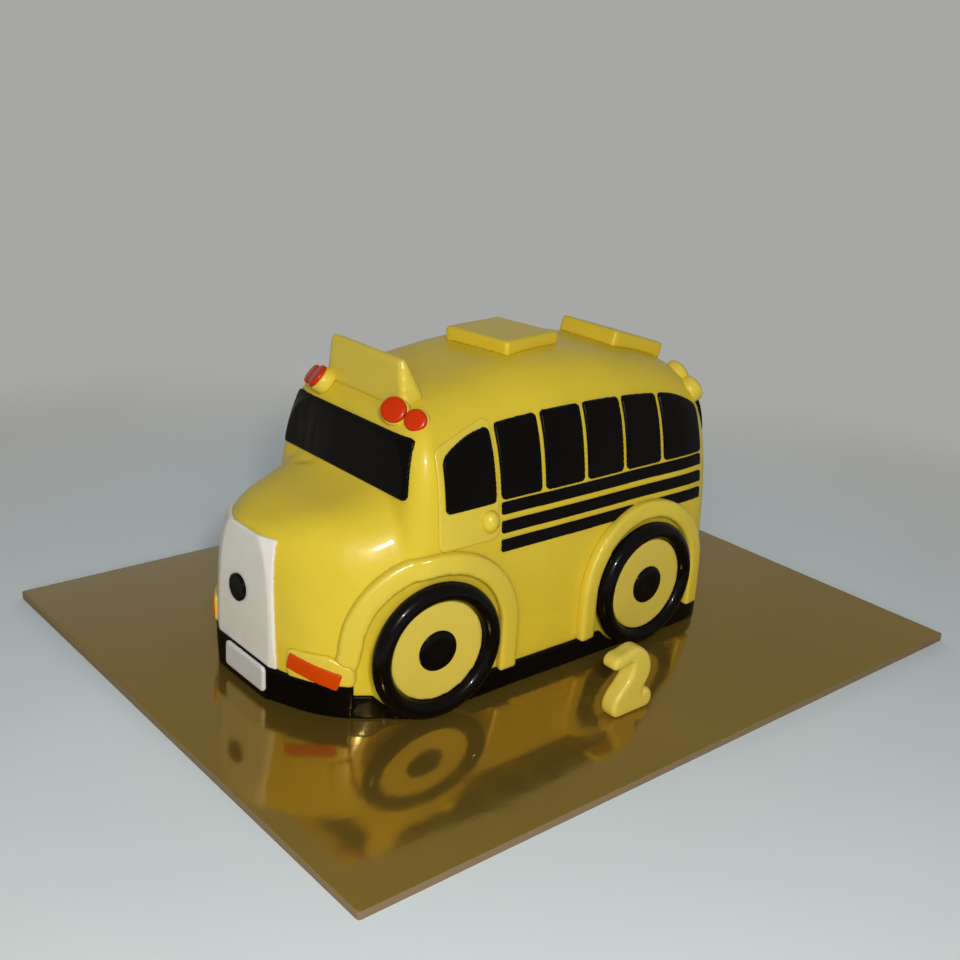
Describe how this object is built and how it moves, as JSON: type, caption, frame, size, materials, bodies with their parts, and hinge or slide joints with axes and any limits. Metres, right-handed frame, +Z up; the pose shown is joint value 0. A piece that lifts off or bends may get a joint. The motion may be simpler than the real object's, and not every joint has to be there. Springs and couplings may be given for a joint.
{
  "type": "celebration cake in the form of a school bus",
  "caption": "Celebration cake shaped as a hooded passenger bus, covered in yellow sugar paste, on a flat rectangular foil board to be carried and served from.",
  "frame": {"origin": "centre of the cake board's underside, on the surface it stands on", "axes": "+X towards the nose of the bus along the board's long side, +Y to the bus's left, +Z up"},
  "size_m": [0.5, 0.4, 0.207],
  "materials": {
    "gold_foil_board": "gold foil laminated over card, mirror-like with faint wrinkles",
    "yellow_cover": "rolled yellow sugar paste with a soft steamed gloss",
    "yellow_paste": "cut yellow sugar paste pieces with a soft steamed gloss",
    "black_paste": "black sugar paste, glossy",
    "orange_paste": "orange-red sugar paste, glossy",
    "white_paste": "off-white sugar paste, satin"
  },
  "bodies": {
    "root": {"base_strip_front": "black_paste", "base_strip_left": "black_paste", "base_strip_rear": "black_paste", "base_strip_right": "black_paste", "cab_window_left": "black_paste", "cab_window_right": "black_paste", "cake_board": "gold_foil_board", "covered_body": "yellow_cover", "door_knob_left": "yellow_paste", "door_knob_right": "yellow_paste", "door_panel_left": "yellow_paste", "door_panel_right": "yellow_paste", "front_arch_left": "yellow_paste", "front_arch_right": "yellow_paste", "front_hub_left": "black_paste", "front_hub_right": "black_paste", "front_lamp_backing_left": "yellow_paste", "front_lamp_backing_right": "yellow_paste", "front_tyre_left": "black_paste", "front_tyre_right": "black_paste", "front_warning_lamps_left": "orange_paste", "front_warning_lamps_right": "orange_paste", "front_wheel_disc_left": "yellow_paste", "front_wheel_disc_right": "yellow_paste", "grille_panel": "white_paste", "headlamp_left": "orange_paste", "headlamp_pad_left": "yellow_paste", "headlamp_pad_right": "yellow_paste", "headlamp_right": "orange_paste", "nose_badge": "black_paste", "number_plate": "white_paste", "numeral_two": "yellow_paste", "rear_arch_left": "yellow_paste", "rear_arch_right": "yellow_paste", "rear_hub_left": "black_paste", "rear_hub_right": "black_paste", "rear_lamp_backing_left": "yellow_paste", "rear_lamp_backing_right": "yellow_paste", "rear_tyre_left": "black_paste", "rear_tyre_right": "black_paste", "rear_warning_lamps_left": "orange_paste", "rear_warning_lamps_right": "orange_paste", "rear_wheel_disc_left": "yellow_paste", "rear_wheel_disc_right": "yellow_paste", "rear_window": "black_paste", "roof_hatch_front": "yellow_paste", "roof_hatch_rear": "yellow_paste", "roof_sign": "yellow_paste", "side_stripes_left": "black_paste", "side_stripes_right": "black_paste", "side_windows_left": "black_paste", "side_windows_right": "black_paste", "windscreen": "black_paste"}
  },
  "joints": []
}
